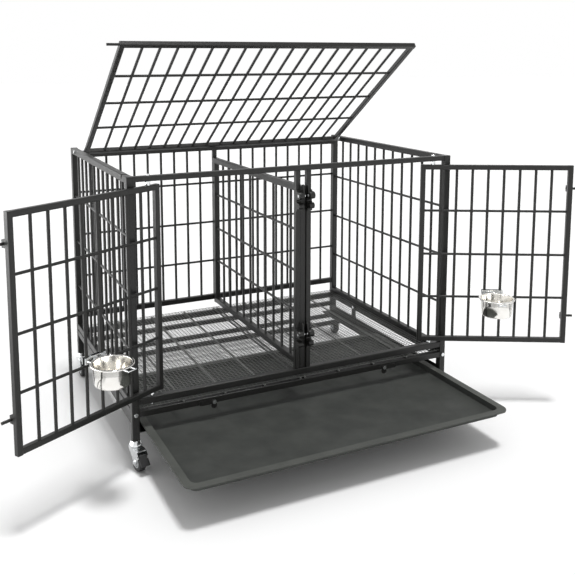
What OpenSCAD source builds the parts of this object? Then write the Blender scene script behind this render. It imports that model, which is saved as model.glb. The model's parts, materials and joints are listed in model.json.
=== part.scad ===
// Heavy duty dog crate: two cabins, swing doors, lift-up lid, slide-out tray, four casters.
// Origin: floor level, middle between the four corner posts. X right, Y back, Z up, millimetres.
// Drawn as it stands in use: both doors open, lid up, tray pulled half out.

/* [Crate] */
// Width over the corner posts
crate_w = 1090; // [1060:5:1120]
// Depth over the corner posts
crate_d = 765; // [745:5:785]
// Height of the frame above the floor
crate_h = 845; // [825:5:865]
// Height of the post feet above the floor
leg_z = 84; // [82:1:88]

/* [Tubes and bars] */
// Side of the square corner posts
post_s = 22; // [21:0.5:24]
// Wall of the corner posts
post_wall = 1.5; // [1.2:0.1:2]
// Corner radius of the corner posts
post_r = 2.5; // [2.2:0.1:3]
// Side of the heavy rails
rail_s = 20; // [19:0.5:21]
// Side of the light tubes
tube_s = 16; // [15:0.5:16.5]
// Corner radius of the rails and tubes
tube_r = 2.5; // [2:0.1:3]
// Diameter of the bars
bar_d = 9; // [7:0.5:9.5]
// Diameter of the cross wires
wire_d = 8; // [6:0.5:8.5]
// Depth that bars and wires run into the tubes
weld_sink = 2; // [1:0.5:3]
// Number of bars in a side panel
side_bars = 11; // [9:1:12]
// Number of bars in each half of the back panel
back_bars = 9; // [7:1:10]
// Number of bars in the divider
divider_bars = 10; // [8:1:12]

/* [Levels] */
// Underside of the base rails
base_z = 152; // [150:1:154]
// Underside of the lower side rails
side_low_z = 176; // [174:1:180]
// Underside of the front sill
sill_z = 188; // [187:1:192]
// Underside of the lower back rail
back_low_z = 217; // [212:1:224]
// Drop of the divider below the frame top
divider_drop = 64; // [50:1:80]

/* [Floor and tray] */
// Diameter of the rods under the floor grids
rod_d = 6; // [5:0.5:7]
// Distance between the floor rods
rod_pitch = 130; // [110:5:140]
// Thickness of the floor grids
grid_t = 2.5; // [2:0.25:3]
// Width of the strands of the floor grids
grid_strand = 3; // [2:0.5:4]
// Width of the tray over its rim
tray_w = 1020; // [1000:2:1026]
// Depth of the tray over its rim
tray_d = 742; // [720:1:742]
// Height of the tray
tray_h = 21; // [18:1:26]
// Distance that the tray is pulled out
tray_out = 366; // [300:1:400]
// Corner radius of the tray
tray_r = 30; // [16:1:34]
// Width of the rim of the tray
tray_rim = 20; // [16:0.5:24]
// Height of the turned-down edge of the rim
tray_lip = 4; // [3:0.5:6]
// Corner radius of the pan below the rim
pan_r = 22; // [16:1:30]
// Sheet thickness of the tray
tray_wall = 2.4; // [1.6:0.1:3]
// Height of the runner angles
runner_h = 26; // [22:1:30]
// Width of the pan that rests on each runner shelf
tray_rest = 14; // [10:1:20]
// Underside of the runner angles
runner_z = 96; // [92:1:98]
// Sheet thickness of the runners
runner_t = 2.5; // [2:0.25:3]
// Height of the rear rail above the runner shelves
rear_rail_up = 18; // [16:0.5:20]
// Distance of the rear cross rail in front of the rear posts
cross_set_a = 42; // [40:1:60]
// Distance of the front cross rail in front of the rear posts
cross_set_b = 126; // [110:1:150]
// Width of the runner hangers
hanger_w = 30; // [24:1:36]
// Distance of the runner hangers behind the middle
hanger_y = 181; // [150:1:220]
// Distance of the turn stops from the middle
stop_x = 298; // [260:1:330]
// Height of the turn stops above the floor
stop_z = 158; // [157:1:160]
// Reach of the turn stops
stop_reach = 47; // [44:1:50]
// Height of the turn stops
stop_h = 14; // [10:1:16]
// Sheet thickness of the turn stops
stop_t = 3; // [2:0.5:4]
// Radius of the finger tabs on the turn stops
tab_r = 9; // [8:0.5:10]
// Drop of the finger tabs below the screws
tab_drop = 12; // [10:1:14]

/* [Doors] */
// Angle of the open doors
door_angle = 152; // [120:1:152]
// Distance of the door pivot from the hinge edge
door_pivot_in = 39.5; // [37:0.5:39.5]
// Gap between the sill and the doors
door_lift = 9; // [8:0.5:12]
// Gap between the doors and the front top rail
door_head = 12; // [10:0.5:14]
// Number of bars in a door
door_bars = 8; // [7:1:9]
// Radius of the door pivots
pivot_r = 4; // [3:0.5:4.5]
// Radius of the shoulders on the door pivots
shoulder_r = 7; // [6:0.5:8]
// Radius of the lock pins on the doors
pin_r = 4; // [3.5:0.25:4]
// Reach of the lock pins past the door edge
pin_reach = 25; // [20:1:25]
// Distance of the lock pins from the face of the door
pin_off = 8; // [8:0.5:10]
// Drop of the upper lock pins below the frame top
pin_drop = 107; // [90:1:130]
// Height of the lower lock pins above the floor
pin_low_z = 305; // [285:1:325]
// Height of the saddles that hold the lock pins
saddle_h = 20; // [14:1:24]

/* [Latches] */
// Height of the latch plates
latch_h = 64; // [60:1:70]
// Thickness of the latch back plates
latch_t = 6; // [5:0.5:7]
// Radius of the upper latch lobes
lobe_r = 11; // [10:0.5:11]
// Reach of the upper latch lobes
lobe_u = 16; // [15:0.5:17]
// Height of the upper latch lobes above the lock pins
lobe_w = 17; // [16.5:0.5:18]
// Radius of the lower latch lobes
jaw_r = 9; // [8:0.5:9]
// Reach of the lower latch lobes
jaw_u = 14; // [12:0.5:16]
// Drop of the lower latch lobes below the lock pins
jaw_w = 15; // [14.5:0.5:16]
// Half height of the latch slots
slot_r = 5; // [4.5:0.25:5.25]
// Thickness of the latch dogs
dog_t = 4; // [3:0.5:4.5]
// Width of the latch dogs
dog_w = 10; // [8:0.5:10]
// Length of the latch dogs
dog_l = 34; // [30:1:36]
// Angle of the lifted latch dogs
dog_angle = 100; // [96:1:104]

/* [Lid] */
// Angle of the open lid
lid_angle = 35; // [10:1:60]
// Length of the lid from the hinge axis to the front rail
lid_l = 640; // [600:5:660]
// Distance of the hinge axis in front of the rear posts
lid_set = 58; // [40:1:64]
// Gap between the lid and the posts on each side
lid_side = 13; // [2:0.5:14]
// Number of bars in the lid
lid_bars = 17; // [14:1:19]
// Reach of the stop pin on the lid
stop_pin_l = 37; // [35:1:38]
// Gap between the lid and the back top rail
lid_lift = 4; // [4:0.5:6]

/* [Bowls] */
// Diameter of the bowls over the rim
bowl_d = 115; // [104:1:120]
// Height of the bowls
bowl_h = 58; // [48:1:66]
// Height of the bowl rims above the floor
bowl_z = 390; // [384:1:420]
// Distance of the bowl rims from the middle of the doors
bowl_gap = 13; // [12:1:20]
// Sheet thickness of the bowls
bowl_t = 1.2; // [1:0.1:1.6]
// Width of the rims of the bowls
bowl_rim = 6; // [5:0.5:7]
// Taper of the bowls
bowl_taper = 7; // [4:0.5:10]
// Wire of the bowl rings
ring_d = 4; // [3.5:0.25:4.5]
// Half width of the loops at the front of the bowl rings
loop_x = 12; // [10:1:16]
// Reach of the loops past the bowl rings
loop_y = 20; // [14:1:24]
// Height of the bowl clamps
clamp_h = 18; // [14:1:22]
// Sheet thickness of the bowl clamps
clamp_t = 2.5; // [2:0.25:3]

/* [Casters] */
// Radius of the wheels
wheel_r = 28; // [26:0.5:28]
// Width of the wheels
wheel_w = 22; // [18:1:24]
// Trail of the wheels behind the king pins
trail = 20; // [16:1:22]
// Radius of the wheel hubs
hub_r = 17; // [15:0.5:19]
// Width of the lips of the hubs
hub_lip = 3; // [2:0.5:4]
// Depth of the dish in the hubs
hub_dish = 4; // [3:0.5:6]
// Sheet thickness of the forks
fork_t = 2.5; // [2:0.25:3]
// Radius of the axles
axle_r = 4; // [3:0.5:4.5]
// Radius of the king pins
king_r = 5; // [4:0.5:6]
// Radius of the swivel heads
race_r = 19; // [17:0.5:20]
// Height of the straight edge of the swivel heads
race_h = 7; // [5:0.5:9]
// Distance of the pedal pins behind the axles
pedal_back = 22; // [20:0.5:24]
// Height of the pedal pins above the axles
pedal_rise = 24; // [23:0.5:26]
// Length of the brake pedals
pedal_l = 30; // [24:1:32]
// Thickness of the brake pedals
pedal_t = 3.5; // [3:0.5:4]

/* [Hardware] */
// Radius of the frame bolts
bolt_r = 3; // [2.5:0.25:3.5]
// Radius of the bolt heads
head_r = 6; // [5:0.5:7]
// Height of the bolt heads
head_h = 4; // [3:0.5:5]
// Depth of the bolts in the rails
bolt_grip = 18; // [14:1:22]

/* [Clearances] */
// Gap around doors, lid and tray
swing_gap = 1.5; // [1.5:0.1:1.6]
// Gap between pieces that rest on each other
seat_gap = 0.25; // [0.1:0.05:0.3]
// Gap around pins in their bores
fit_gap = 0.05; // [0.03:0.01:0.08]
// Set-back of a tube from the faces of the tube it is welded to
tube_step = 0.25; // [0.1:0.05:0.4]
// Overrun of the cutting shapes
over = 1; // [0.5:0.5:2]

/* [Hidden] */
$fn = 48;

frame_col = "#363634";
steel_col = "#b9bcbe";
net_col = "#6a6b69";
bowl_col = "#d6d8da";
tray_col = "#454744";
tyre_col = "#1d1d1e";
hub_col = "#8d8f90";

// Heights of the cross wires as shares of the open height
side_wire_shares = [0.23, 0.494, 0.757];
back_wire_shares = [0.239, 0.509, 0.78];
divider_wire_shares = [0.279, 0.522, 0.769];
door_wire_shares = [0.243, 0.5, 0.758];
lid_wire_shares = [0.25, 0.5, 0.75];
// Openings of a floor grid, across and along
grid_cells = [12, 16];
// Headings of the casters: front left, front right, rear left, rear right
caster_turns = [-80, -75, -88, -98];

// Post axes and the faces that look into the crate
post_x = (crate_w - post_s) / 2;
post_y = (crate_d - post_s) / 2;
in_x = post_x - post_s / 2;
in_y = post_y - post_s / 2;
// Rails that end in another tube
tube_sink = tube_r + weld_sink;
tube_in = tube_s - 2 * tube_step;
rail_in = rail_s - 2 * tube_step;
// Levels
cap_t = 2;
cap_z = crate_h - cap_t;
base_top = base_z + rail_s;
sill_top = sill_z + rail_s;
front_top_z = crate_h - tube_s;
lid_z = crate_h - tube_s / 2;
back_top_z = crate_h - tube_s - lid_lift;
divider_z = sill_top + seat_gap;
divider_top = crate_h - divider_drop;
bolt_z = base_z + rail_s / 2;
tray_z = runner_z + runner_t + seat_gap;
shelf_x = tray_w / 2 - tray_rim - tray_rest;
// Front of the crate
front_face = -post_y - tube_s / 2;
centre_x = rail_s / 2 + seat_gap + tube_s / 2;
centre_out = centre_x + tube_s / 2;
centre_in = centre_x - tube_s / 2;
// Doors, measured from the pivot toward the free edge
pivot_x = in_x - swing_gap - door_pivot_in;
door_free = pivot_x - centre_out - swing_gap;
door_z0 = sill_top + door_lift;
door_z1 = front_top_z - door_head;
door_open_0 = tube_s - door_pivot_in;
door_open_l = door_free - tube_s - door_open_0;
door_pitch = door_open_l / (door_bars + 1);
bowl_at = door_open_0 + door_pitch * (floor(door_bars / 2) + 0.5);
pivot_depth = tube_s - weld_sink;
pin_levels = [crate_h - pin_drop, pin_low_z];
// Lid, measured from the hinge axis toward the front
lid_y = post_y - lid_set;
lid_half = in_x - lid_side;
lid_pin_grip = 20;
// Bowls
bowl_off = bowl_d / 2 + bowl_gap;
ring_z = bowl_z - bowl_t - ring_d / 2 - seat_gap;
bowl_r = bowl_d / 2 - bowl_rim;
ring_r = bowl_r + ring_d / 2 + 2 * seat_gap;
clamp_half = door_pitch / 2 + bar_d;
arm_x = bowl_d / 4;
wing_l = 14;
wing_t = 3;
// Casters, measured from the king pin with the trail along X
fork_in = wheel_w / 2 + swing_gap;
fork_out = fork_in + fork_t;
stem_h = 18;
fork_top = leg_z - stem_h;
fork_plate_t = 4;
fork_z = fork_top - fork_plate_t;
fork_half = 17;
fork_foot = 9;
stem_r = 14;
plug_h = 24;
rivet_h = 3;
axle_head = 2.5;
tyre_edge = 3;
hub_boss = 8;
pedal_x = trail + pedal_back;
pedal_z = wheel_r + pedal_rise;
pedal_pin_r = 2.5;
pedal_cam_r = 4;
pedal_dip = 47;
pedal_half = wheel_w / 2 + fork_t;
ear = 5;

module box(x0, x1, y0, y1, z0, z1) {
    translate([x0, y0, z0])
        cube([x1 - x0, y1 - y0, z1 - z0]);
}

module rod_x(x0, x1, r) {
    translate([x0, 0, 0])
        rotate([0, 90, 0])
            cylinder(r = r, h = x1 - x0);
}

module rod_y(y0, y1, r) {
    translate([0, y0, 0])
        rotate([-90, 0, 0])
            cylinder(r = r, h = y1 - y0);
}

module round_rect(w, d, r) {
    square([w - 2 * r, d], center = true);
    square([w, d - 2 * r], center = true);
    for (x = [-1, 1], y = [-1, 1])
        translate([x * (w / 2 - r), y * (d / 2 - r)])
            circle(r = r);
}

// Square tubes with rounded corners: along X with sizes in Y and Z, along Y, and upright
module tube_x(x0, x1, w, h) {
    translate([x0, 0, 0])
        rotate([90, 0, 90])
            linear_extrude(x1 - x0)
                round_rect(w, h, tube_r);
}

module tube_y(y0, y1, w, h) {
    translate([0, y0, 0])
        rotate([-90, 0, 0])
            linear_extrude(y1 - y0)
                round_rect(w, h, tube_r);
}

module tube_z(z0, z1, w, d) {
    translate([0, 0, z0])
        linear_extrude(z1 - z0)
            round_rect(w, d, tube_r);
}

// Upright bars and cross wires in the open field of a panel
module grille(len, z0, z1, bars, shares, wire_end) {
    for (i = [1 : bars])
        translate([len * i / (bars + 1), 0, z0 - weld_sink])
            cylinder(d = bar_d, h = z1 - z0 + 2 * weld_sink);
    for (s = shares)
        translate([0, 0, z0 + s * (z1 - z0)])
            rod_x(-wire_end, len + wire_end, wire_d / 2);
}

// Corner posts: hollow square tube with bolt bores
module post(sx, sy) {
    color(frame_col)
        translate([sx * post_x, sy * post_y, 0])
            difference() {
                translate([0, 0, leg_z])
                    linear_extrude(cap_z - leg_z)
                        difference() {
                            round_rect(post_s, post_s, post_r);
                            square(post_s - 2 * post_wall, center = true);
                        }
                translate([0, 0, bolt_z])
                    rod_y(-post_s, post_s, bolt_r + fit_gap);
            }
}

module post_front_left() { post(-1, -1); }
module post_front_right() { post(1, -1); }
module post_rear_left() { post(-1, 1); }
module post_rear_right() { post(1, 1); }

// Side panels: two rails between the posts, bars, wires and the bore of the lid hinge
module side_panel(sx) {
    color(frame_col)
        translate([sx * post_x, 0, 0])
            difference() {
                union() {
                    for (z = [side_low_z, crate_h - rail_s])
                        translate([0, 0, z + rail_s / 2])
                            tube_y(-in_y, in_y, rail_s, rail_s);
                    translate([0, -in_y, 0])
                        rotate([0, 0, 90])
                            grille(2 * in_y, side_low_z + rail_s, crate_h - rail_s, side_bars,
                                   side_wire_shares, 0);
                }
                translate([0, lid_y, lid_z])
                    rod_x(-rail_s, rail_s, pivot_r + fit_gap);
            }
}

// The left rail has a notch that the stop pin of the lid drops into
module left_side_panel() {
    color(frame_col)
        difference() {
            side_panel(-1);
            translate([-post_x, lid_y - lid_l, lid_z]) {
                rod_x(-rail_s, rail_s, pin_r + seat_gap);
                box(-rail_s, rail_s, -pin_r - over, pin_r + over, 0, rail_s);
            }
        }
}

module right_side_panel() { side_panel(1); }

// Back panel: rails between the rear posts, a stile in the middle, bars and wires
module back_panel() {
    low = back_low_z + rail_s;
    high = back_top_z - tube_s;
    color(frame_col)
        translate([0, post_y, 0]) {
            translate([0, 0, high + tube_s / 2])
                tube_x(-in_x, in_x, tube_s, tube_s);
            translate([0, 0, low - rail_s / 2])
                tube_x(-in_x, in_x, tube_s, rail_s);
            tube_z(low - tube_sink, high + tube_sink, tube_s, tube_in);
            translate([-in_x, 0, 0])
                grille(in_x - tube_s / 2, low, high, back_bars, [], 0);
            translate([tube_s / 2, 0, 0])
                grille(in_x - tube_s / 2, low, high, back_bars, [], 0);
            translate([-in_x, 0, 0])
                grille(2 * in_x, low, high, 0, back_wire_shares, 0);
        }
}

module front_top_rail() {
    color(frame_col)
        difference() {
            translate([0, -post_y, front_top_z + tube_s / 2])
                tube_x(-in_x, in_x, tube_s, tube_s);
            for (sx = [-1, 1])
                translate([sx * pivot_x, -post_y, front_top_z - over])
                    cylinder(r = pivot_r + fit_gap, h = tube_s + 2 * over);
        }
}

module front_sill() {
    color(frame_col)
        difference() {
            translate([0, -post_y, sill_z + rail_s / 2])
                tube_x(-in_x, in_x, rail_s, rail_s);
            for (sx = [-1, 1])
                translate([sx * pivot_x, -post_y, sill_z - over])
                    cylinder(r = pivot_r + fit_gap, h = rail_s + 2 * over);
        }
}

module centre_post(sx) {
    color(frame_col)
        translate([sx * centre_x, -post_y, 0])
            tube_z(sill_top, front_top_z, tube_s, tube_s);
}

module centre_post_left() { centre_post(-1); }
module centre_post_right() { centre_post(1); }

// Base: four rails on one level between the posts
module base_front_rail() {
    color(frame_col)
        difference() {
            translate([0, -post_y, bolt_z])
                tube_x(-in_x, in_x, rail_s, rail_s);
            for (sx = [-1, 1])
                translate([sx * stop_x, -post_y, stop_z])
                    rod_y(-rail_s, bolt_grip - rail_s / 2, bolt_r + fit_gap);
        }
}

module base_rear_rail() {
    color(frame_col)
        translate([0, post_y, bolt_z])
            tube_x(-in_x, in_x, rail_s, rail_s);
}

module base_side_rail(sx) {
    color(frame_col)
        translate([sx * post_x, 0, 0])
            difference() {
                translate([0, 0, bolt_z])
                    tube_y(-in_y, in_y, rail_s, rail_s);
                for (sy = [-1, 1])
                    translate([0, sy * in_y, bolt_z])
                        rod_y(-bolt_grip - over, bolt_grip + over, bolt_r + fit_gap);
                translate([0, hanger_y, bolt_z])
                    rod_x(-rail_s, rail_s, bolt_r + fit_gap);
            }
}

module base_left_rail() { base_side_rail(-1); }
module base_right_rail() { base_side_rail(1); }

// Floor grids: a net of flat strands on four round rods
module floor_grid(sx) {
    w = in_x - 2 * swing_gap;
    d = 2 * post_y + rail_s - 2 * swing_gap;
    cell = [(w - grid_strand) / grid_cells[0], (d - grid_strand) / grid_cells[1]];
    color(net_col)
        translate([0, 0, base_top + seat_gap]) {
            translate([sx * (w / 2 + swing_gap), 0, rod_d - grid_t / 2])
                linear_extrude(grid_t)
                    difference() {
                        square([w, d], center = true);
                        for (i = [0 : grid_cells[0] - 1], j = [0 : grid_cells[1] - 1])
                            translate([(i + 0.5) * cell[0] - (w - grid_strand) / 2,
                                       (j + 0.5) * cell[1] - (d - grid_strand) / 2])
                                square([cell[0] - grid_strand, cell[1] - grid_strand],
                                       center = true);
                    }
            for (x = [swing_gap + rod_d, rod_pitch, 2 * rod_pitch, 3 * rod_pitch])
                translate([sx * x, 0, rod_d / 2])
                    rod_y(-d / 2, d / 2, rod_d / 2);
        }
}

module floor_grid_left() { floor_grid(-1); }
module floor_grid_right() { floor_grid(1); }

// Tray runners: an angle between the posts with a hanger up to the base rail
module tray_runner(sx) {
    face = post_x - rail_s / 2;
    color(frame_col)
        mirror([sx < 0 ? 1 : 0, 0, 0])
            difference() {
                union() {
                    box(face, face + runner_t, -in_y, in_y, runner_z, runner_z + runner_h);
                    box(shelf_x, face + runner_t, -in_y, in_y, runner_z, runner_z + runner_t);
                    box(face - runner_t, face, hanger_y - hanger_w / 2, hanger_y + hanger_w / 2,
                        runner_z, base_top);
                }
                translate([face, hanger_y, bolt_z])
                    rod_x(-rail_s, rail_s, bolt_r + fit_gap);
            }
}

module tray_runner_left() { tray_runner(-1); }
module tray_runner_right() { tray_runner(1); }

// Three equal tubes: a stop behind the tray, and two rails that carry the runners
module tray_cross_rails() {
    cross_z = runner_z - tube_s;
    spots = [[post_y, runner_z + runner_t + rear_rail_up], [post_y - cross_set_a, cross_z],
             [post_y - cross_set_b, cross_z]];
    color(frame_col)
        for (s = spots)
            translate([0, s[0], s[1] + tube_s / 2])
                tube_x(-in_x, in_x, tube_s, tube_s);
}

// Divider: a closed frame between the two centre posts and the back stile
module divider_panel() {
    front = -post_y - tube_s / 4;
    back = post_y - tube_s / 2 - seat_gap;
    color(frame_col)
        translate([0, front, 0])
            rotate([0, 0, 90]) {
                for (z = [divider_z, divider_top - rail_s])
                    translate([0, 0, z + rail_s / 2])
                        tube_x(rail_s - tube_sink, back - front - rail_s + tube_sink, rail_in, rail_s);
                for (x = [0, back - front - rail_s])
                    translate([x + rail_s / 2, 0, 0])
                        tube_z(divider_z, divider_top, rail_s, rail_s);
                translate([rail_s, 0, 0])
                    grille(back - front - 2 * rail_s, divider_z + rail_s, divider_top - rail_s,
                           divider_bars, divider_wire_shares, weld_sink);
            }
}

// Latches: plates in the upright plane across the crate, u to the front and w up
module latch_plane(x0, x1, z) {
    translate([x1, front_face, z])
        rotate([90, 0, -90])
            linear_extrude(x1 - x0)
                children();
}

module latch_shape() {
    difference() {
        union() {
            translate([0, -latch_h / 2])
                square([latch_t, latch_h]);
            translate([0, lobe_w - lobe_r])
                square([lobe_u, 2 * lobe_r]);
            translate([lobe_u, lobe_w])
                circle(r = lobe_r);
            translate([0, -jaw_w - jaw_r])
                square([jaw_u, 2 * jaw_r]);
            translate([jaw_u, -jaw_w])
                circle(r = jaw_r);
        }
        translate([pin_off, 0])
            circle(r = slot_r);
        translate([pin_off, -slot_r])
            square([latch_h, 2 * slot_r]);
        translate([lobe_u, lobe_w])
            circle(r = bolt_r + fit_gap);
    }
}

module latch_housings() {
    color(frame_col)
        for (z = pin_levels, x = [-centre_out, centre_in])
            latch_plane(x, x + tube_s, z)
                latch_shape();
}

// Rivets with a head on the far side of the housing and on the dog
module latch_rivets() {
    head = 1.5;
    reach = centre_in - seat_gap - dog_t - seat_gap;
    color(steel_col)
        for (z = pin_levels, sx = [-1, 1])
            mirror([sx < 0 ? 1 : 0, 0, 0])
                translate([0, front_face - lobe_u, z + lobe_w]) {
                    rod_x(reach - over / 2, centre_out + over / 2, bolt_r);
                    rod_x(reach - head, reach, bolt_r + head);
                    rod_x(centre_out, centre_out + swing_gap / 2, bolt_r + head);
                }
}

module latch_dog(sx, level) {
    x0 = centre_in - seat_gap - dog_t;
    color(frame_col)
        mirror([sx < 0 ? 1 : 0, 0, 0])
            latch_plane(x0, x0 + dog_t, pin_levels[level])
                translate([lobe_u, lobe_w])
                    rotate(dog_angle)
                        difference() {
                            union() {
                                circle(d = dog_w);
                                translate([0, -dog_w / 2])
                                    square([dog_l - dog_w / 2, dog_w]);
                                translate([dog_l - dog_w / 2, 0])
                                    circle(d = dog_w);
                            }
                            circle(r = bolt_r + fit_gap);
                        }
}

module latch_dog_upper_left() { latch_dog(-1, 0); }
module latch_dog_lower_left() { latch_dog(-1, 1); }
module latch_dog_upper_right() { latch_dog(1, 0); }
module latch_dog_lower_right() { latch_dog(1, 1); }

module post_caps() {
    color(frame_col)
        for (x = [-post_x, post_x], y = [-post_y, post_y])
            translate([x, y, cap_z])
                linear_extrude(cap_t)
                    round_rect(post_s, post_s, post_r);
}

// Bolts through the posts into the base rails, hanger bolts and stop screws
module bolt(grip) {
    rod_y(0, grip, bolt_r);
    rod_y(-head_h, 0, head_r);
}

module frame_bolts() {
    color(steel_col) {
        for (x = [-post_x, post_x], sy = [-1, 1])
            mirror([0, sy > 0 ? 1 : 0, 0])
                translate([x, -post_y - post_s / 2, bolt_z])
                    bolt(post_s + bolt_grip);
        for (sx = [-1, 1])
            mirror([sx > 0 ? 1 : 0, 0, 0])
                translate([runner_t + rail_s / 2 - post_x, hanger_y, bolt_z])
                    rotate([0, 0, 90])
                        bolt(runner_t + bolt_grip);
        for (sx = [-1, 1])
            translate([sx * stop_x, -post_y - rail_s / 2 - stop_t - 2 * seat_gap, stop_z])
                bolt(stop_t + bolt_grip);
    }
}

// Door pivots: shank, shoulder that carries or guides the door, and head
module door_pivot_bolts() {
    color(steel_col)
        for (sx = [-1, 1])
            translate([sx * pivot_x, -post_y, 0]) {
                translate([0, 0, door_z1 - pivot_depth])
                    cylinder(r = pivot_r, h = crate_h - door_z1 + pivot_depth);
                translate([0, 0, door_z1 + seat_gap])
                    cylinder(r = shoulder_r, h = front_top_z - door_z1 - seat_gap);
                translate([0, 0, crate_h])
                    cylinder(r = head_r, h = head_h);
                translate([0, 0, sill_z])
                    cylinder(r = pivot_r, h = door_z0 - sill_z + pivot_depth);
                translate([0, 0, sill_top])
                    cylinder(r = shoulder_r, h = door_z0 - sill_top - seat_gap);
                translate([0, 0, sill_z - head_h])
                    cylinder(r = head_r, h = head_h);
            }
}

module lid_hinge_pins() {
    face = post_x + rail_s / 2;
    color(steel_col)
        for (sx = [-1, 1])
            mirror([sx < 0 ? 1 : 0, 0, 0])
                translate([0, lid_y, lid_z]) {
                    rod_x(lid_half - lid_pin_grip, face, pivot_r);
                    rod_x(face, face + head_h, head_r);
                }
}

// Lid: closed frame, bars from the hinge rail to the front rail, stop pin on the left
module lid_leaf() {
    difference() {
        translate([0, -lid_l, 0])
            union() {
                for (y = [0, lid_l])
                    translate([0, y, 0])
                        tube_x(-lid_half, lid_half, tube_s, tube_s);
                for (x = [-lid_half, lid_half - tube_s])
                    translate([x + tube_s / 2, 0, 0])
                        tube_y(tube_s / 2 - tube_sink, lid_l - tube_s / 2 + tube_sink, tube_s, tube_in);
                translate([tube_s - lid_half, lid_l - tube_s / 2, 0])
                    rotate([90, 0, 0])
                        grille(2 * (lid_half - tube_s), 0, lid_l - tube_s, lid_bars,
                               lid_wire_shares, weld_sink);
                rod_x(-lid_half - stop_pin_l, weld_sink - lid_half, pin_r);
            }
        for (sx = [-1, 1])
            translate([sx * lid_half, 0, 0])
                rod_x(-lid_pin_grip - over, lid_pin_grip + over, pivot_r + fit_gap);
    }
}

module lid_panel() {
    color(frame_col)
        translate([0, lid_y, lid_z])
            rotate([-lid_angle, 0, 0])
                lid_leaf();
}

// Doors: drawn for the left side from the pivot, mirrored for the right side
module on_door(sx) {
    mirror([sx > 0 ? 1 : 0, 0, 0])
        translate([-pivot_x, -post_y, 0])
            rotate([0, 0, -door_angle])
                children();
}

module door_leaf() {
    difference() {
        union() {
            for (x = [-door_pivot_in, door_free - tube_s])
                translate([x + tube_s / 2, 0, 0])
                    tube_z(door_z0, door_z1, tube_s, tube_s);
            for (z = [door_z0, door_z1 - tube_s])
                translate([0, 0, z + tube_s / 2])
                    tube_x(door_open_0 - tube_sink, door_free - tube_s + tube_sink, tube_in, tube_s);
            translate([door_open_0, 0, 0])
                grille(door_open_l, door_z0 + tube_s, door_z1 - tube_s, door_bars,
                       door_wire_shares, weld_sink);
        }
        for (z = [door_z0 - over, door_z1 - tube_s - over])
            translate([0, 0, z])
                cylinder(r = pivot_r + fit_gap, h = tube_s + 2 * over);
    }
}

module left_door() {
    color(frame_col)
        on_door(-1)
            door_leaf();
}

module right_door() {
    color(frame_col)
        on_door(1)
            door_leaf();
}

// Lock pins: a round pin in a saddle block on the outer face of the free stile
module door_pins() {
    half = tube_s / 2;
    for (z = pin_levels)
        translate([0, -half - pin_off, z]) {
            rod_x(door_free - tube_s, door_free + pin_reach, pin_r);
            box(door_free - tube_s + over, door_free - over, -pin_r - over, pin_off,
                -saddle_h / 2, saddle_h / 2);
        }
}

module left_door_pins() {
    color(frame_col)
        on_door(-1)
            door_pins();
}

module right_door_pins() {
    color(frame_col)
        on_door(1)
            door_pins();
}

// Bowl holders: wire ring with a front loop on two arms, inner clamp plate on the door bars
module bowl_holder() {
    face = bar_d / 2 + seat_gap;
    translate([bowl_at, 0, ring_z])
        difference() {
            union() {
                translate([0, bowl_off, 0]) {
                    rotate_extrude()
                        translate([ring_r, 0])
                            circle(d = ring_d);
                    for (x = [-loop_x, loop_x])
                        translate([x, 0, 0])
                            rod_y(sqrt(ring_r * ring_r - x * x), ring_r + loop_y, ring_d / 2);
                    translate([0, ring_r + loop_y, 0])
                        rod_x(-loop_x - ring_d / 2, loop_x + ring_d / 2, ring_d / 2);
                }
                box(-clamp_half, clamp_half, face, face + clamp_t, -clamp_h / 2, clamp_h / 2);
                for (x = [-arm_x, arm_x])
                    translate([x, 0, 0])
                        rod_y(face + clamp_t / 2, bowl_off - sqrt(ring_r * ring_r - x * x), ring_d / 2);
            }
            rod_y(0, bowl_off / 2, bolt_r + fit_gap);
        }
}

// Bowl clamps: outer plate, bolt and wing nut that pull the holder onto the bars
module bowl_clamp() {
    face = bar_d / 2 + seat_gap;
    translate([bowl_at, 0, ring_z]) {
        box(-clamp_half, clamp_half, -face - clamp_t, -face, -clamp_h / 2, clamp_h / 2);
        rod_y(-face - clamp_t / 2, face + clamp_t + seat_gap + head_h / 2, bolt_r);
        rod_y(face + clamp_t + seat_gap, face + clamp_t + head_h, head_r);
        rod_y(-face - clamp_t - head_h, -face - clamp_t / 2, head_r);
        box(-wing_l, wing_l, -face - clamp_t - head_h, -face - clamp_t - head_h + wing_t,
            -head_r / 2, head_r / 2);
    }
}

// Bowls: pressed sheet with a flat rim
module bowl() {
    low = bowl_z - bowl_h;
    foot_r = bowl_r - bowl_taper;
    translate([bowl_at, bowl_off, 0])
        rotate_extrude()
            polygon([[0, low], [foot_r, low], [bowl_r, bowl_z - bowl_t], [bowl_d / 2, bowl_z - bowl_t],
                     [bowl_d / 2, bowl_z], [bowl_r - bowl_t, bowl_z], [foot_r - bowl_t, low + bowl_t],
                     [0, low + bowl_t]]);
}

module left_bowl_holder() {
    color(steel_col)
        on_door(-1)
            bowl_holder();
}

module right_bowl_holder() {
    color(steel_col)
        on_door(1)
            bowl_holder();
}

module left_bowl_clamp() {
    color(steel_col)
        on_door(-1)
            bowl_clamp();
}

module right_bowl_clamp() {
    color(steel_col)
        on_door(1)
            bowl_clamp();
}

module left_bowl() {
    color(bowl_col)
        on_door(-1)
            bowl();
}

module right_bowl() {
    color(bowl_col)
        on_door(1)
            bowl();
}

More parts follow.
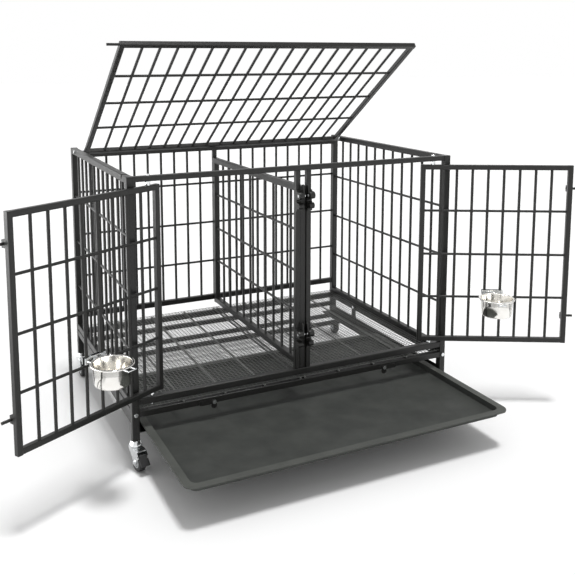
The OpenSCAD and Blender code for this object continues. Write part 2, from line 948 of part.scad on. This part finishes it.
// Tray: pan with a wide rim and a turned-down edge, on the runner shelves
module tray() {
    middle = post_y - tube_s / 2 - swing_gap - tray_d / 2 - tray_out;
    pan_w = tray_w - 2 * tray_rim;
    pan_d = tray_d - 2 * tray_rim;
    color(tray_col)
        translate([0, middle, tray_z])
            difference() {
                union() {
                    linear_extrude(tray_h)
                        round_rect(pan_w, pan_d, pan_r);
                    translate([0, 0, tray_h - tray_wall])
                        linear_extrude(tray_wall)
                            round_rect(tray_w, tray_d, tray_r);
                    translate([0, 0, tray_h - tray_lip])
                        linear_extrude(tray_lip)
                            difference() {
                                round_rect(tray_w, tray_d, tray_r);
                                round_rect(tray_w - 2 * tray_wall, tray_d - 2 * tray_wall,
                                           tray_r - tray_wall);
                            }
                }
                translate([0, 0, tray_wall])
                    linear_extrude(tray_h)
                        round_rect(pan_w - 2 * tray_wall, pan_d - 2 * tray_wall, pan_r - tray_wall);
            }
}

// Turn stops: level while the tray is out, turned down in front of it when it is in
module tray_stop(sx) {
    color(frame_col)
        translate([sx * stop_x, -post_y - rail_s / 2 - seat_gap, stop_z])
            mirror([sx < 0 ? 1 : 0, 0, 0])
                rotate([90, 0, 0])
                    linear_extrude(stop_t)
                        difference() {
                            union() {
                                circle(d = stop_h);
                                translate([0, -stop_h / 2])
                                    square([stop_reach - stop_h / 2, stop_h]);
                                translate([stop_reach - stop_h / 2, 0])
                                    circle(d = stop_h);
                                translate([-stop_h / 2, -tab_drop])
                                    square([stop_h, tab_drop]);
                                translate([0, -tab_drop])
                                    circle(r = tab_r);
                            }
                            circle(r = bolt_r + fit_gap);
                        }
}

module tray_stop_left() { tray_stop(-1); }
module tray_stop_right() { tray_stop(1); }

// Casters: every piece is drawn at its post, turned to the heading of that caster
module at_caster(sx, sy) {
    translate([sx * post_x, sy * post_y, 0])
        rotate([0, 0, caster_turns[(sx + 1) / 2 + (sy + 1)]])
            children();
}

// Stems: plug in the post, swivel head, king pin and its rivet head
module caster_stems() {
    plug = post_s - 2 * post_wall - 2 * fit_gap;
    color(steel_col)
        for (x = [-post_x, post_x], y = [-post_y, post_y])
            translate([x, y, 0]) {
                box(-plug / 2, plug / 2, -plug / 2, plug / 2, leg_z - over, leg_z + plug_h);
                rotate_extrude()
                    polygon([[0, fork_top + seat_gap], [race_r, fork_top + seat_gap],
                             [race_r, fork_top + race_h], [stem_r, leg_z], [0, leg_z]]);
                translate([0, 0, fork_z - rivet_h])
                    cylinder(r = king_r, h = leg_z - fork_z);
                translate([0, 0, fork_z - rivet_h])
                    cylinder(r = king_r + rivet_h, h = rivet_h - seat_gap);
            }
}

module fork_side() {
    polygon([[-fork_half, fork_z], [-fork_half, fork_top], [pedal_x - ear, fork_top],
             [pedal_x + ear, pedal_z + ear / 2], [pedal_x + ear / 2, pedal_z - ear],
             [trail + fork_foot, wheel_r], [trail - fork_foot, wheel_r]]);
    translate([trail, wheel_r])
        circle(r = fork_foot);
}

module caster_fork(sx, sy) {
    color(steel_col)
        at_caster(sx, sy)
            difference() {
                union() {
                    box(-fork_half, pedal_x - ear, -fork_out, fork_out, fork_z, fork_top);
                    for (y = [-fork_in, fork_out])
                        translate([0, y, 0])
                            rotate([90, 0, 0])
                                linear_extrude(fork_t)
                                    fork_side();
                    translate([trail, 0, wheel_r]) {
                        rod_y(-fork_out - axle_head, fork_out + axle_head, axle_r);
                        for (y = [-fork_out - axle_head, fork_out])
                            rod_y(y, y + axle_head, axle_r + axle_head);
                    }
                }
                translate([0, 0, fork_z - over])
                    cylinder(r = king_r + fit_gap, h = fork_plate_t + 2 * over);
                translate([pedal_x, 0, pedal_z])
                    rod_y(-fork_out - over, fork_out + over, pedal_pin_r + fit_gap);
            }
}

module caster_fork_front_left() { caster_fork(-1, -1); }
module caster_fork_front_right() { caster_fork(1, -1); }
module caster_fork_rear_left() { caster_fork(-1, 1); }
module caster_fork_rear_right() { caster_fork(1, 1); }

// Hubs: a boss and a lip with a dish between them on both sides
module caster_hub(sx, sy) {
    half = wheel_w / 2;
    deep = half - hub_dish;
    color(hub_col)
        at_caster(sx, sy)
            translate([trail, 0, wheel_r])
                rotate([90, 0, 0])
                    rotate_extrude()
                        polygon([[axle_r + fit_gap, -half], [hub_boss, -half], [hub_boss, -deep],
                                 [hub_r - hub_lip, -deep], [hub_r - hub_lip, -half], [hub_r, -half],
                                 [hub_r, half], [hub_r - hub_lip, half], [hub_r - hub_lip, deep],
                                 [hub_boss, deep], [hub_boss, half], [axle_r + fit_gap, half]]);
}

module caster_hub_front_left() { caster_hub(-1, -1); }
module caster_hub_front_right() { caster_hub(1, -1); }
module caster_hub_rear_left() { caster_hub(-1, 1); }
module caster_hub_rear_right() { caster_hub(1, 1); }

module caster_tyre(sx, sy) {
    half = wheel_w / 2;
    color(tyre_col)
        at_caster(sx, sy)
            translate([trail, 0, wheel_r])
                rotate([90, 0, 0])
                    rotate_extrude()
                        polygon([[hub_r + fit_gap, -half], [wheel_r - tyre_edge, -half],
                                 [wheel_r, tyre_edge - half], [wheel_r, half - tyre_edge],
                                 [wheel_r - tyre_edge, half], [hub_r + fit_gap, half]]);
}

module caster_tyre_front_left() { caster_tyre(-1, -1); }
module caster_tyre_front_right() { caster_tyre(1, -1); }
module caster_tyre_rear_left() { caster_tyre(-1, 1); }
module caster_tyre_rear_right() { caster_tyre(1, 1); }

// Brake pedals: pivot pin in the fork ears, cam over the tyre and a sloping foot plate
module brake_pedal(sx) {
    color(tyre_col)
        at_caster(sx, -1)
            translate([pedal_x, 0, pedal_z]) {
                rod_y(-fork_out, fork_out, pedal_pin_r);
                rod_y(-wheel_w / 2, wheel_w / 2, pedal_cam_r);
                rotate([0, pedal_dip, 0]) {
                    box(0, 2 * ear, -wheel_w / 2, wheel_w / 2, 0, pedal_t);
                    box(2 * ear, pedal_l, -pedal_half, pedal_half, 0, pedal_t);
                }
            }
}

module brake_pedal_left() { brake_pedal(-1); }
module brake_pedal_right() { brake_pedal(1); }

post_front_left();
post_front_right();
post_rear_left();
post_rear_right();
left_side_panel();
right_side_panel();
back_panel();
front_top_rail();
front_sill();
centre_post_left();
centre_post_right();
base_front_rail();
base_rear_rail();
base_left_rail();
base_right_rail();
floor_grid_left();
floor_grid_right();
tray_runner_left();
tray_runner_right();
tray_cross_rails();
divider_panel();
latch_housings();
latch_rivets();
post_caps();
frame_bolts();
door_pivot_bolts();
lid_hinge_pins();
caster_stems();
lid_panel();
left_door();
left_door_pins();
left_bowl_holder();
left_bowl_clamp();
left_bowl();
right_door();
right_door_pins();
right_bowl_holder();
right_bowl_clamp();
right_bowl();
tray();
tray_stop_left();
tray_stop_right();
latch_dog_upper_left();
latch_dog_lower_left();
latch_dog_upper_right();
latch_dog_lower_right();
caster_fork_front_left();
caster_fork_front_right();
caster_fork_rear_left();
caster_fork_rear_right();
caster_hub_front_left();
caster_hub_front_right();
caster_hub_rear_left();
caster_hub_rear_right();
caster_tyre_front_left();
caster_tyre_front_right();
caster_tyre_rear_left();
caster_tyre_rear_right();
brake_pedal_left();
brake_pedal_right();
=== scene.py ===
# %% [markdown]
# # Heavy duty dog crate
#
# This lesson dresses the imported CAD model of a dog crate. The solids already have the right shape
# and place, so they stay where they are. Each one gets a material made of nodes, and modifiers
# round its edges. Only the bowls and the floor nets are finer than the solids, and are modelled here.

import json
import math

import bmesh
import bpy
from mathutils import Matrix, Vector


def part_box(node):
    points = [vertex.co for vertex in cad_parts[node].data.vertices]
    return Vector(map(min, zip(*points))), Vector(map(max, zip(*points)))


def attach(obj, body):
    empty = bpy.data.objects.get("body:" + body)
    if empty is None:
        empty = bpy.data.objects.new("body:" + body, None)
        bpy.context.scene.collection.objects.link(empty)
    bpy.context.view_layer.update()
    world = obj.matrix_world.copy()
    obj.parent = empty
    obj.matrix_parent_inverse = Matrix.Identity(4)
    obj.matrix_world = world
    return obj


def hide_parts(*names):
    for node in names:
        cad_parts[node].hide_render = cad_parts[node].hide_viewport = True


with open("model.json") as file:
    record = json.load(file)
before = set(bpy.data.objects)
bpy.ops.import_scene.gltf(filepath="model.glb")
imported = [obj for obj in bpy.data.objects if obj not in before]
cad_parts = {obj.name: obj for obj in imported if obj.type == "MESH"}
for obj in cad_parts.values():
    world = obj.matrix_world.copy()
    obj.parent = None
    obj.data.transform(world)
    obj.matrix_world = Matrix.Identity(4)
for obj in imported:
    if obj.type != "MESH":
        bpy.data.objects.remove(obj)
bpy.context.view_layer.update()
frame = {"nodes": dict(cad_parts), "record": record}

# %% [markdown]
# ## Tools for the materials
#
# A material is a tree of nodes. It could be clicked together in the editor, or use photographs of a
# surface. Here it is written out, because a script gives the same result on each run and needs no
# pictures. Colours are sRGB hex values, as on a paint chart, and are turned into linear light.

# %% tools for the materials


def linear(code):
    """Linear RGBA of an sRGB hex colour."""
    parts = [int(code[i:i + 2], 16) / 255 for i in (1, 3, 5)]
    return [p / 12.92 if p <= 0.04045 else ((p + 0.055) / 1.055) ** 2.4 for p in parts] + [1.0]


def add(tree, kind, inputs=None, **props):
    """A new shader node with its properties set and its inputs filled or linked."""
    node = tree.nodes.new("ShaderNode" + kind)
    for key, value in props.items():
        setattr(node, key, value)
    for key, value in (inputs or {}).items():
        if isinstance(value, bpy.types.NodeSocket):
            tree.links.new(value, node.inputs[key])
        else:
            node.inputs[key].default_value = value
    return node


def blank(name):
    """A material's empty tree, its Object coordinates and a function that closes and returns it."""
    mat = bpy.data.materials.new(name)
    mat.use_nodes = True
    tree = mat.node_tree
    tree.nodes.clear()
    place = add(tree, "TexCoord").outputs["Object"]

    def close(**inputs):
        shader = add(tree, "BsdfPrincipled", {k.replace("_", " "): v for k, v in inputs.items()})
        add(tree, "OutputMaterial", {"Surface": shader.outputs["BSDF"]})
        return mat

    return tree, place, close


print("tools ready: linear, add, blank")

# %% [markdown]
# ## Uneven surfaces
#
# No real surface has one flat colour or one even gloss. Both waver in blotches of a certain size.
# They could be painted on each piece by hand, but a noise, spread between two values, covers all of
# them alike. Its scale is one over the blotch size in metres, so the sizes below are real ones.

# %% uneven surfaces
MM = 0.001


def waver(tree, place, size, low=0.0, high=1.0, detail=3.0):
    """A value that wavers between two others, in blotches of that size."""
    noise = add(tree, "TexNoise", {"Vector": place, "Scale": 1 / size, "Detail": detail})
    # Noise seldom leaves the middle of its range, so the middle is spread over the whole
    span = add(tree, "MapRange", {"Value": noise.outputs["Fac"], "From Min": 0.3, "From Max": 0.7,
                                  "To Min": low, "To Max": high})
    return span.outputs["Result"]


def two_tone(tree, place, size, dark, light):
    """A colour that wavers between two sRGB colours, in blotches of that size."""
    blotches = waver(tree, place, size)
    # Sockets 6 and 7 of a Mix node are its two colours, and output 2 is the mixed one
    mix = add(tree, "Mix", {"Factor": blotches, 6: linear(dark), 7: linear(light)}, data_type="RGBA")
    return mix.outputs[2]


print("patterns ready: waver, two_tone")

# %% [markdown]
# ## Coated steel
#
# The frame is steel tube with a black powder coat: powder that was sprayed on and melted to a
# satin skin. It has an orange-peel relief about two millimetres wide, and a very fine grain.
# A relief could be modelled, but one this shallow only shows in the light, so a bump is enough.
# The thin wires of the floor net have a greyer coat.

# %% coated steel

# Satin black: nearly no colour of its own, and soft lights along the edges. Its grain is finer
# than a millimetre, and is drawn three millimetres wide so that it shows
tree, place, close = blank("black_powder_coat")
peel = waver(tree, place, 2 * MM, detail=1.0)
relief = add(tree, "Bump", {"Height": peel, "Distance": 0.12 * MM})
powder_coat = close(Base_Color=two_tone(tree, place, 3 * MM, "#0b0b0a", "#1f1f1d"),
                    Roughness=waver(tree, place, 60 * MM, low=0.34, high=0.42),
                    Specular_IOR_Level=0.45, Normal=relief.outputs["Normal"])

# Grey coat on thin wire: blotched where it was dipped
tree, place, close = blank("grey_net_wire")
net_wire = close(Base_Color=two_tone(tree, place, 10 * MM, "#5c5d5b", "#777876"),
                 Roughness=waver(tree, place, 4 * MM, low=0.4, high=0.55))
print("coats:", powder_coat.name, net_wire.name)

# %% [markdown]
# ## Bright metal
#
# Bolts, pins and caster forks are zinc plated, and the bowls are polished stainless steel. Both
# could be painted a pale grey, but metal has no colour but its mirror image, so they are fully
# metallic, and only their gloss wavers: plate is cloudy, and the spun bowls keep fine turning marks.

# %% bright metal

# Zinc plate: a bright, slightly cloudy mirror
tree, place, close = blank("zinc_plate")
zinc = close(Base_Color=two_tone(tree, place, 12 * MM, "#d8dadb", "#eceeef"), Metallic=1.0,
             Roughness=waver(tree, place, 6 * MM, low=0.10, high=0.20))

# Polished stainless steel: a warm, nearly clear mirror with fine marks
tree, place, close = blank("polished_stainless_steel")
stainless = close(Base_Color=two_tone(tree, place, 20 * MM, "#f1efea", "#faf8f4"), Metallic=1.0,
                  Roughness=waver(tree, place, 1.2 * MM, low=0.08, high=0.15, detail=2.0))
print("metals:", zinc.name, stainless.name)

# %% [markdown]
# ## Tray
#
# The tray is a dark plastic moulding with a soft sheen and a faint pebble. Dust lies on it in
# patches. Its rim is drawn lighter as a painted highlight: the flat rim stands in the light, while
# the walls shade the floor of the pan. The rim could be a second material, but its flat top is
# simply all that lies above a certain level, so the height of the CAD tray tells the node where it
# starts.

# %% tray

# Dark grey plastic: dull, a little greenish, with dusty patches, and a painted highlight along the rim
tree, place, close = blank("dark_tray_plastic")
tray_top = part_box("tray")[1].z
level = add(tree, "SeparateXYZ", {"Vector": place}).outputs["Z"]
# Painted highlight: the flat top of the rim is drawn lighter than the pan floor, which the walls shade
painted_rim_highlight = add(tree, "MapRange", {"Value": level, "To Min": 0.0, "To Max": 0.5,
                                "From Min": tray_top - 3 * MM, "From Max": tray_top - 1 * MM})
dust = waver(tree, place, 70 * MM, high=0.3, detail=6.0)
# Dust patches and the painted rim highlight both move the tray towards the lighter colour
dust_and_rim_highlight = add(tree, "Math", {0: dust, 1: painted_rim_highlight.outputs["Result"]}, operation="ADD")
tone = add(tree, "Mix", {"Factor": dust_and_rim_highlight.outputs[0], 6: linear("#383a38"), 7: linear("#595b57")},
           data_type="RGBA")
pebble = add(tree, "Bump", {"Height": waver(tree, place, 1.6 * MM, detail=2.0), "Distance": 0.08 * MM})
tray_plastic = close(Base_Color=tone.outputs[2],
                     Roughness=waver(tree, place, 80 * MM, low=0.46, high=0.56),
                     Specular_IOR_Level=0.2, Normal=pebble.outputs["Normal"])
print("tray:", tray_plastic.name, "top at", round(tray_top, 4))

# %% [markdown]
# ## Caster wheels
#
# The tyres are rubber, the hubs a pale moulded plastic and the brake pedals a black one. One grey
# and one black could serve for all, but they differ in how dull they are: rubber scatters nearly
# all light, and moulded plastic keeps a broad soft shine.

# %% caster wheels

# Rubber: nearly black and dry, slightly mottled
tree, place, close = blank("tyre_rubber")
skin = add(tree, "Bump", {"Height": waver(tree, place, 0.8 * MM), "Distance": 0.1 * MM})
rubber = close(Base_Color=two_tone(tree, place, 3 * MM, "#131314", "#1f1f20"),
               Roughness=waver(tree, place, 4 * MM, low=0.68, high=0.85), Normal=skin.outputs["Normal"])

# Pale grey plastic: matte skin straight from the mould
tree, place, close = blank("grey_hub_plastic")
hub_plastic = close(Base_Color=two_tone(tree, place, 2 * MM, "#b9bbbc", "#c7c9ca"),
                    Roughness=waver(tree, place, 3 * MM, low=0.42, high=0.55))

# Black plastic: fine texture that keeps a shoe from slipping
tree, place, close = blank("black_pedal_plastic")
grip = add(tree, "Bump", {"Height": waver(tree, place, 0.6 * MM), "Distance": 0.08 * MM})
pedal_plastic = close(Base_Color=two_tone(tree, place, 1 * MM, "#1a1a1b", "#252526"),
                      Roughness=waver(tree, place, 2 * MM, low=0.45, high=0.6),
                      Normal=grip.outputs["Normal"])
print("wheels:", rubber.name, hub_plastic.name, pedal_plastic.name)

# %% [markdown]
# ## Dress the solids
#
# Every solid takes the material of its slot. Drawn tube and bent sheet have no knife edges, and
# could be rounded in CAD, but a Bevel modifier does it here without touching the mesh. The packed
# mesh is made of loose triangles, so a Weld modifier joins their corners first.

# %% dress the solids
by_slot = {"powder_coat": powder_coat, "net_wire": net_wire, "zinc": zinc, "stainless": stainless,
           "tray_plastic": tray_plastic, "tyre_rubber": rubber, "hub_plastic": hub_plastic,
           "pedal_plastic": pedal_plastic}
edge_width = {"powder_coat": 1.3 * MM, "zinc": 0.5 * MM, "tray_plastic": 0.8 * MM,
              "tyre_rubber": 1.2 * MM, "hub_plastic": 0.8 * MM, "pedal_plastic": 1.0 * MM}

slot_of = {s["node"]: s["material_slot"] for s in frame["record"]["subparts"]}
for name, obj in frame["nodes"].items():
    slot = slot_of[name]
    for holder in obj.material_slots:
        holder.material = by_slot[slot]
    if slot in edge_width:
        weld = obj.modifiers.new("join_corners", "WELD")
        weld.merge_threshold = 0.01 * MM
        edge = obj.modifiers.new("round_edges", "BEVEL")
        edge.width = edge_width[slot]
        edge.segments = 2
        edge.limit_method = "ANGLE"
        edge.angle_limit = math.radians(40)
        edge.harden_normals = True
print("dressed", len(frame["nodes"]), "solids")

# %% [markdown]
# ## New pieces
#
# Bowls and nets are made in a bmesh, Blender's mesh for editing. They could be shaped by hand in the
# viewport, but code gives the same mesh on each run. Their place is in the mesh, so that each object
# sits at the origin as the CAD solids do, and rides on a body of the crate.

# %% new pieces


def new_piece(name, mesh, material, body):
    """A mesh as an object at the origin that rides on a body."""
    for face in mesh.faces:
        face.smooth = True
    data = bpy.data.meshes.new(name)
    mesh.to_mesh(data)
    mesh.free()
    data.materials.append(material)
    obj = bpy.data.objects.new(name, data)
    bpy.context.scene.collection.objects.link(obj)
    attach(obj, body)
    return obj


print("tool ready: new_piece")

# %% [markdown]
# ## Bowls
#
# A steel bowl is spun: a disc is pressed over a turning form, and its edge is rolled over. It could
# be cut out of a cylinder, but turning a section about the axis follows how it is made. The section
# has eight points. A bevel rounds the foot and the rolled rim, and a full spin closes the bowl.

# %% bowls

# Thickness of the steel, height and overhang of the rolled rim, taper of the wall on each side
sheet = 1.2 * MM
bead = 4.4 * MM
overhang = 6 * MM
taper = 4 * MM

# Radii of the roundings, and steps of the full turn
foot_round = 6 * MM
bead_round = 2 * MM
lip_round = 1.5 * MM
turn_steps = 72


def round_points(mesh, points, radius, segments):
    """Round some corners of a section."""
    bmesh.ops.bevel(mesh, geom=points, offset=radius, offset_type="OFFSET", affect="VERTICES",
                    segments=segments, profile=0.5, material=-1)


for side in ("left", "right"):
    low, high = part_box(side + "_bowl")
    centre = (low + high) / 2
    rim = (high.x - low.x) / 2
    wall = rim - overhang
    foot = wall - taper
    section = [(0.0, low.z), (foot, low.z), (wall, high.z - bead), (rim, high.z - bead), (rim, high.z),
               (wall - sheet, high.z), (foot - sheet, low.z + sheet), (0.0, low.z + sheet)]
    mesh = bmesh.new()
    points = [mesh.verts.new((centre.x + r, centre.y, z)) for r, z in section]
    for start, end in zip(points, points[1:]):
        mesh.edges.new((start, end))
    _, foot_out, _, bead_low, bead_top, lip, foot_in, _ = points
    round_points(mesh, [foot_out, foot_in], foot_round, segments=8)
    round_points(mesh, [bead_low, bead_top], bead_round, segments=5)
    round_points(mesh, [lip], lip_round, segments=4)
    bmesh.ops.spin(mesh, geom=mesh.verts[:] + mesh.edges[:], cent=(centre.x, centre.y, 0), axis=(0, 0, 1),
                   dvec=(0, 0, 0), angle=2 * math.pi, steps=turn_steps, use_merge=True)
    bmesh.ops.remove_doubles(mesh, verts=mesh.verts[:], dist=0.005 * MM)
    bmesh.ops.recalc_face_normals(mesh, faces=mesh.faces[:])
    print(side, "bowl:", len(mesh.faces), "faces")
    bowl = new_piece(side + "_bowl_spun", mesh, stainless, side + "_bowl")
    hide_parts(side + "_bowl")

# %% [markdown]
# ## Floor nets
#
# The floor of each cabin is welded wire mesh with openings of half an inch, on four rods. The solid
# has wider openings. A net could be drawn as a picture with holes, but real wires also look right
# from close by and from below. Each wire has six sides, because there are hundreds of them.

# %% floor nets
pitch = 12.7 * MM
wire_radius = 0.9 * MM
rod_radius = 3 * MM

# Welding presses the crossing wires into each other by a quarter of their thickness
crossing = 1.5 * wire_radius

# Places of the rods, counted from the middle of the crate
rod_places = [7.5 * MM, 130 * MM, 260 * MM, 390 * MM]


def stick(mesh, start, end, radius, sides):
    """A straight wire between two points."""
    way = Vector(end) - Vector(start)
    turn = way.to_track_quat("Z", "Y").to_matrix().to_4x4()
    spot = Matrix.Translation((Vector(start) + Vector(end)) / 2) @ turn
    bmesh.ops.create_cone(mesh, cap_ends=True, segments=sides, radius1=radius, radius2=radius,
                          depth=way.length, matrix=spot)


for side, sign in (("left", -1), ("right", 1)):
    low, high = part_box("floor_grid_" + side)
    net = bmesh.new()
    rod_level = low.z + rod_radius
    lower = low.z + 2 * rod_radius
    upper = lower + crossing
    across = round((high.x - low.x) / pitch)
    along = round((high.y - low.y) / pitch)
    for i in range(across + 1):
        x = low.x + wire_radius + (high.x - low.x - 2 * wire_radius) * i / across
        stick(net, (x, low.y, lower), (x, high.y, lower), wire_radius, sides=6)
    for i in range(along + 1):
        y = low.y + wire_radius + (high.y - low.y - 2 * wire_radius) * i / along
        stick(net, (low.x, y, upper), (high.x, y, upper), wire_radius, sides=6)
    for x in rod_places:
        stick(net, (sign * x, low.y, rod_level), (sign * x, high.y, rod_level), rod_radius, sides=12)
    piece = new_piece("floor_net_" + side, net, net_wire, "frame")
    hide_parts("floor_grid_" + side)
    print(side, "floor net:", across + along + 2, "wires on", len(rod_places), "rods")

# %% [markdown]
# ## Floor
#
# A product picture stands on a white sweep. It could be a sheet that bends up behind the crate, but
# a large white plane under a white sky gives the same, with no edge in view, and from every side.

# %% floor
scene = bpy.context.scene
scene.view_settings.view_transform = "Standard"

plain = bmesh.new()
bmesh.ops.create_grid(plain, x_segments=1, y_segments=1, size=30.0)
floor_mesh = bpy.data.meshes.new("floor")
plain.to_mesh(floor_mesh)
plain.free()
floor = bpy.data.objects.new("floor", floor_mesh)
scene.collection.objects.link(floor)
*_, close = blank("white_studio_floor")
floor_mesh.materials.append(close(Base_Color=linear("#fdfdfd"), Roughness=0.9, Specular_IOR_Level=0.0))
print("floor:", floor_mesh.materials[0].name)

# %% [markdown]
# ## Sky
#
# The sky stands for the walls of a white studio. What the lens sees is plain white. What lights the
# crate is dimmer, so that shadows stay, and what metal mirrors is brighter near the horizon, as in
# a room with light walls. One even sky could be all three, but then the white or the shadows would
# be lost, so the kind of ray picks one of three skies.

# %% sky
world = bpy.data.worlds.new("white_studio")
scene.world = world
world.use_nodes = True
sky = world.node_tree
sky.nodes.clear()
white = linear("#ffffff")
rays = add(sky, "LightPath").outputs
up = add(sky, "SeparateXYZ", {"Vector": add(sky, "TexCoord").outputs["Generated"]}).outputs["Z"]
fall = add(sky, "MapRange", {"Value": up, "From Min": 0.0, "From Max": 0.8, "To Min": 1.2, "To Max": 0.5})
lighting = add(sky, "Background", {"Color": white, "Strength": 0.58})
backdrop = add(sky, "Background", {"Color": white, "Strength": 1.0})
mirrored = add(sky, "Background", {"Color": white, "Strength": fall.outputs["Result"]})
# Socket 0 of a Mix Shader node picks between the shaders in sockets 1 and 2
unseen = add(sky, "MixShader", {0: rays["Is Glossy Ray"], 1: lighting.outputs[0], 2: mirrored.outputs[0]})
whole = add(sky, "MixShader", {0: rays["Is Camera Ray"], 1: unseen.outputs[0], 2: backdrop.outputs[0]})
add(sky, "OutputWorld", {"Surface": whole.outputs[0]})
print("sky:", world.name)

# %% [markdown]
# ## Lamps
#
# Many small lamps could light a crate, but each would throw its own shadow of every bar. One wide
# lamp straight above puts the shadows of doors and tray right under them. A tall light wall on the
# left only shows in mirror images: it draws a soft light along the left edges of the black tubes,
# which would be flat without it.

# %% lamps
above = bpy.data.lights.new("wide_lamp_above", "SUN")
above.energy = 1.75
above.angle = math.radians(11)
sun = bpy.data.objects.new("wide_lamp_above", above)
sun.rotation_euler = (math.radians(8), math.radians(3), 0.0)
scene.collection.objects.link(sun)

panel = bpy.data.lights.new("light_wall_left", "AREA")
panel.shape = "RECTANGLE"
panel.size = 4.0
panel.size_y = 3.0
panel.energy = 160.0
wall_left = bpy.data.objects.new("light_wall_left", panel)
wall_left.location = (-3.0, 0.6, 1.5)
wall_left.rotation_euler = (math.radians(90), 0.0, math.radians(-100))
wall_left.visible_diffuse = False
wall_left.visible_camera = False
scene.collection.objects.link(wall_left)
print("lamps:", sun.name, wall_left.name)

# %% [markdown]
# ## Camera
#
# The camera stands where the photograph was taken: in front, to the left, a little above the crate.
# Upright lines are kept nearly parallel there. Tilting the camera alone would make them lean, so
# part of the tilt is done by the lens shift instead.

# %% camera
view = bpy.data.cameras.new("camera")
view.sensor_width = 36.0
view.lens = 49.38
view.shift_x = 0.0195
view.shift_y = -0.22
tilt_down = 7.69
heading = -25.51
camera = bpy.data.objects.new("camera", view)
camera.location = (-1.0875, -2.4656, 1.1754)
camera.rotation_euler = (math.radians(90 - tilt_down), 0.0, math.radians(heading))
scene.collection.objects.link(camera)
scene.camera = camera
print("camera at", [round(v, 3) for v in camera.location])
